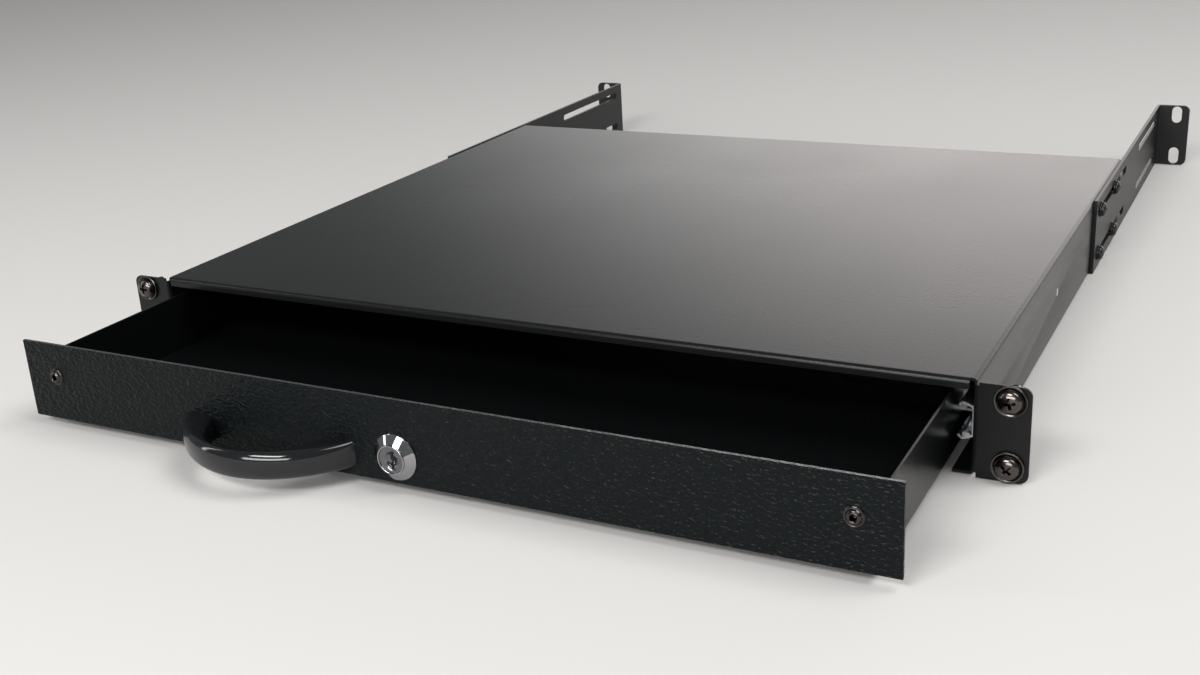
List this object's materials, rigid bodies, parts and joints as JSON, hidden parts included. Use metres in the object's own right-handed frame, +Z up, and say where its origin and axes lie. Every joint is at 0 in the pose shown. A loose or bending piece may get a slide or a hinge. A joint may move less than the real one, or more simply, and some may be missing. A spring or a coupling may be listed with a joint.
{
  "type": "sliding rack drawer",
  "caption": "Rack-mounted sliding drawer: folded steel housing with slotted ears and adjustable rear brackets, ball-slide tray, steel front with arched handle and cam lock.",
  "frame": {"origin": "centre of the four ear slots, on the back face of the ears that meets the rack's front rails", "axes": "+X to the right seen from the front, +Y into the rack, +Z up"},
  "size_m": [0.482, 0.6905, 0.0436],
  "materials": {
    "black_powder_coat": "fine-texture satin black powder coat on folded steel",
    "black_hammered_coat": "coarse hammered black powder coat on steel",
    "gloss_black_plastic": "gloss moulded plastic",
    "zinc_plated_steel": "bright zinc plate",
    "bright_steel": "polished steel",
    "black_zinc_screw": "black zinc plate",
    "chrome": "polished chromium plate"
  },
  "bodies": {
    "chassis": {"housing": "black_powder_coat", "slide_channel_left": "zinc_plated_steel", "slide_channel_right": "zinc_plated_steel", "slide_rivets": "zinc_plated_steel", "bracket_screws": "black_zinc_screw", "bracket_washers": "black_zinc_screw", "bracket_nuts": "zinc_plated_steel"},
    "drawer": {"tray": "black_powder_coat", "front_panel": "black_hammered_coat", "panel_rivets": "bright_steel", "pull_handle": "gloss_black_plastic", "handle_screws": "zinc_plated_steel", "slide_runner_left": "zinc_plated_steel", "slide_runner_right": "zinc_plated_steel", "runner_rivets": "zinc_plated_steel", "lock_housing": "chrome", "lock_nut": "zinc_plated_steel"},
    "lock": {"lock_plug": "chrome", "lock_cam": "zinc_plated_steel", "cam_washer": "zinc_plated_steel", "cam_screw": "zinc_plated_steel"},
    "cage_left": {"ball_cage_left": "zinc_plated_steel", "balls_left": "bright_steel"},
    "cage_right": {"ball_cage_right": "zinc_plated_steel", "balls_right": "bright_steel"},
    "bracket_left": {"rear_bracket_left": "black_powder_coat"},
    "bracket_right": {"rear_bracket_right": "black_powder_coat"}
  },
  "joints": [
    {"name": "drawer_slide", "type": "slide", "parent": "chassis", "child": "drawer", "axis": [0, -1, 0], "range_m": [-0.098, 0.152]},
    {"name": "cage_left_slide", "type": "slide", "parent": "chassis", "child": "cage_left", "axis": [0, -1, 0], "range_m": [-0.049, 0.076]},
    {"name": "cage_right_slide", "type": "slide", "parent": "chassis", "child": "cage_right", "axis": [0, -1, 0], "range_m": [-0.049, 0.076]},
    {"name": "lock_turn", "type": "hinge", "parent": "drawer", "child": "lock", "pos_m": [-0.002, -0.101, -0.0048], "axis": [0, -1, 0], "range_deg": [0, 90]},
    {"name": "bracket_left_slide", "type": "slide", "parent": "chassis", "child": "bracket_left", "axis": [0, 1, 0], "range_m": [-0.045, 0.004]},
    {"name": "bracket_right_slide", "type": "slide", "parent": "chassis", "child": "bracket_right", "axis": [0, 1, 0], "range_m": [-0.045, 0.004]}
  ],
  "couplings": [
    {"joint": "cage_left_slide", "follows": "drawer_slide", "ratio": 0.5},
    {"joint": "cage_right_slide", "follows": "drawer_slide", "ratio": 0.5}
  ]
}
